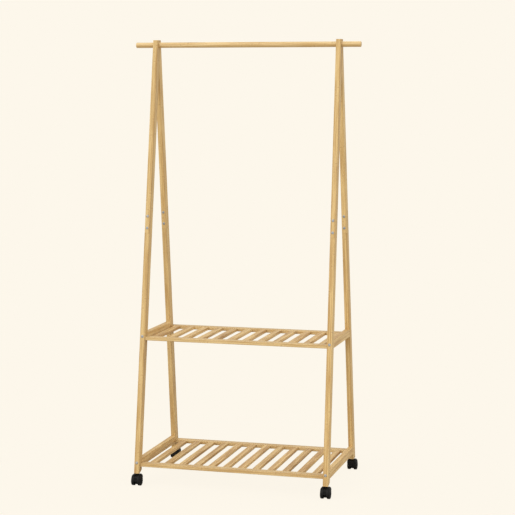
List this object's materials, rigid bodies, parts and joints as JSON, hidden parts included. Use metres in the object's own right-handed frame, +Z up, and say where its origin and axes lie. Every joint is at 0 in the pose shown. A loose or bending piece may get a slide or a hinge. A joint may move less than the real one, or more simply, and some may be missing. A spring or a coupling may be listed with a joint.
{
  "type": "rolling clothes rack",
  "caption": "Rolling clothes rack with two A-shaped bamboo end frames, a round hanging rod, two slatted shelves and small twin-wheel swivel casters.",
  "frame": {"origin": "on the floor under the middle of the rack", "axes": "+X along the hanging rod to the right, +Y to the back (the front strips of the shelves face -Y), +Z up"},
  "size_m": [0.845, 0.461, 1.58],
  "materials": {
    "bamboo_leg": "satin lacquered bamboo",
    "bamboo_rod": "satin lacquered bamboo",
    "bamboo_slat": "satin lacquered bamboo",
    "black_nylon": "fine matt moulded nylon",
    "black_wheel": "matt",
    "steel_stem": "zinc plated"
  },
  "bodies": {
    "rack": {"front_left_caster_stem": "steel_stem", "front_left_leg_lower": "bamboo_leg", "front_left_leg_upper": "bamboo_leg", "front_right_caster_stem": "steel_stem", "front_right_leg_lower": "bamboo_leg", "front_right_leg_upper": "bamboo_leg", "hanging_rod": "bamboo_rod", "lower_shelf_front_strip": "bamboo_slat", "lower_shelf_left_rail": "bamboo_leg", "lower_shelf_rear_strip": "bamboo_slat", "lower_shelf_right_rail": "bamboo_leg", "lower_shelf_slat_01": "bamboo_slat", "lower_shelf_slat_02": "bamboo_slat", "lower_shelf_slat_03": "bamboo_slat", "lower_shelf_slat_04": "bamboo_slat", "lower_shelf_slat_05": "bamboo_slat", "lower_shelf_slat_06": "bamboo_slat", "lower_shelf_slat_07": "bamboo_slat", "lower_shelf_slat_08": "bamboo_slat", "lower_shelf_slat_09": "bamboo_slat", "lower_shelf_slat_10": "bamboo_slat", "lower_shelf_slat_11": "bamboo_slat", "lower_shelf_slat_12": "bamboo_slat", "rear_left_caster_stem": "steel_stem", "rear_left_leg_lower": "bamboo_leg", "rear_left_leg_upper": "bamboo_leg", "rear_right_caster_stem": "steel_stem", "rear_right_leg_lower": "bamboo_leg", "rear_right_leg_upper": "bamboo_leg", "upper_shelf_front_strip": "bamboo_slat", "upper_shelf_left_rail": "bamboo_leg", "upper_shelf_rear_strip": "bamboo_slat", "upper_shelf_right_rail": "bamboo_leg", "upper_shelf_slat_01": "bamboo_slat", "upper_shelf_slat_02": "bamboo_slat", "upper_shelf_slat_03": "bamboo_slat", "upper_shelf_slat_04": "bamboo_slat", "upper_shelf_slat_05": "bamboo_slat", "upper_shelf_slat_06": "bamboo_slat", "upper_shelf_slat_07": "bamboo_slat", "upper_shelf_slat_08": "bamboo_slat", "upper_shelf_slat_09": "bamboo_slat", "upper_shelf_slat_10": "bamboo_slat", "upper_shelf_slat_11": "bamboo_slat", "upper_shelf_slat_12": "bamboo_slat"},
    "front_left_caster_yoke": {"front_left_caster_hood": "black_nylon"},
    "front_left_caster_left_wheel": {"front_left_caster_wheel_left": "black_wheel"},
    "front_left_caster_right_wheel": {"front_left_caster_wheel_right": "black_wheel"},
    "front_left_caster_brake_lever": {"front_left_caster_brake": "black_nylon"},
    "front_right_caster_yoke": {"front_right_caster_hood": "black_nylon"},
    "front_right_caster_left_wheel": {"front_right_caster_wheel_left": "black_wheel"},
    "front_right_caster_right_wheel": {"front_right_caster_wheel_right": "black_wheel"},
    "front_right_caster_brake_lever": {"front_right_caster_brake": "black_nylon"},
    "rear_left_caster_yoke": {"rear_left_caster_hood": "black_nylon"},
    "rear_left_caster_left_wheel": {"rear_left_caster_wheel_left": "black_wheel"},
    "rear_left_caster_right_wheel": {"rear_left_caster_wheel_right": "black_wheel"},
    "rear_right_caster_yoke": {"rear_right_caster_hood": "black_nylon"},
    "rear_right_caster_left_wheel": {"rear_right_caster_wheel_left": "black_wheel"},
    "rear_right_caster_right_wheel": {"rear_right_caster_wheel_right": "black_wheel"}
  },
  "joints": [
    {"name": "front_left_caster_swivel", "type": "hinge", "parent": "rack", "child": "front_left_caster_yoke", "pos_m": [-0.3435, -0.2019, 0.0424], "axis": [0, 0, 1], "continuous": true},
    {"name": "front_left_caster_left_wheel_spin", "type": "hinge", "parent": "front_left_caster_yoke", "child": "front_left_caster_left_wheel", "pos_m": [-0.3435, -0.2104, 0.01636], "axis": [1, 0, 0], "continuous": true},
    {"name": "front_left_caster_right_wheel_spin", "type": "hinge", "parent": "front_left_caster_yoke", "child": "front_left_caster_right_wheel", "pos_m": [-0.3435, -0.2104, 0.01636], "axis": [1, 0, 0], "continuous": true},
    {"name": "front_left_caster_brake_press", "type": "hinge", "parent": "front_left_caster_yoke", "child": "front_left_caster_brake_lever", "pos_m": [-0.3435, -0.21888, 0.02993], "axis": [1, 0, 0], "range_deg": [0, 10]},
    {"name": "front_right_caster_swivel", "type": "hinge", "parent": "rack", "child": "front_right_caster_yoke", "pos_m": [0.3435, -0.2019, 0.0424], "axis": [0, 0, 1], "continuous": true},
    {"name": "front_right_caster_left_wheel_spin", "type": "hinge", "parent": "front_right_caster_yoke", "child": "front_right_caster_left_wheel", "pos_m": [0.3435, -0.2104, 0.01636], "axis": [1, 0, 0], "continuous": true},
    {"name": "front_right_caster_right_wheel_spin", "type": "hinge", "parent": "front_right_caster_yoke", "child": "front_right_caster_right_wheel", "pos_m": [0.3435, -0.2104, 0.01636], "axis": [1, 0, 0], "continuous": true},
    {"name": "front_right_caster_brake_press", "type": "hinge", "parent": "front_right_caster_yoke", "child": "front_right_caster_brake_lever", "pos_m": [0.3435, -0.21888, 0.02993], "axis": [1, 0, 0], "range_deg": [0, 10]},
    {"name": "rear_left_caster_swivel", "type": "hinge", "parent": "rack", "child": "rear_left_caster_yoke", "pos_m": [-0.3435, 0.2019, 0.0424], "axis": [0, 0, 1], "continuous": true},
    {"name": "rear_left_caster_left_wheel_spin", "type": "hinge", "parent": "rear_left_caster_yoke", "child": "rear_left_caster_left_wheel", "pos_m": [-0.3435, 0.2104, 0.01636], "axis": [1, 0, 0], "continuous": true},
    {"name": "rear_left_caster_right_wheel_spin", "type": "hinge", "parent": "rear_left_caster_yoke", "child": "rear_left_caster_right_wheel", "pos_m": [-0.3435, 0.2104, 0.01636], "axis": [1, 0, 0], "continuous": true},
    {"name": "rear_right_caster_swivel", "type": "hinge", "parent": "rack", "child": "rear_right_caster_yoke", "pos_m": [0.3435, 0.2019, 0.0424], "axis": [0, 0, 1], "continuous": true},
    {"name": "rear_right_caster_left_wheel_spin", "type": "hinge", "parent": "rear_right_caster_yoke", "child": "rear_right_caster_left_wheel", "pos_m": [0.3435, 0.2104, 0.01636], "axis": [1, 0, 0], "continuous": true},
    {"name": "rear_right_caster_right_wheel_spin", "type": "hinge", "parent": "rear_right_caster_yoke", "child": "rear_right_caster_right_wheel", "pos_m": [0.3435, 0.2104, 0.01636], "axis": [1, 0, 0], "continuous": true}
  ]
}
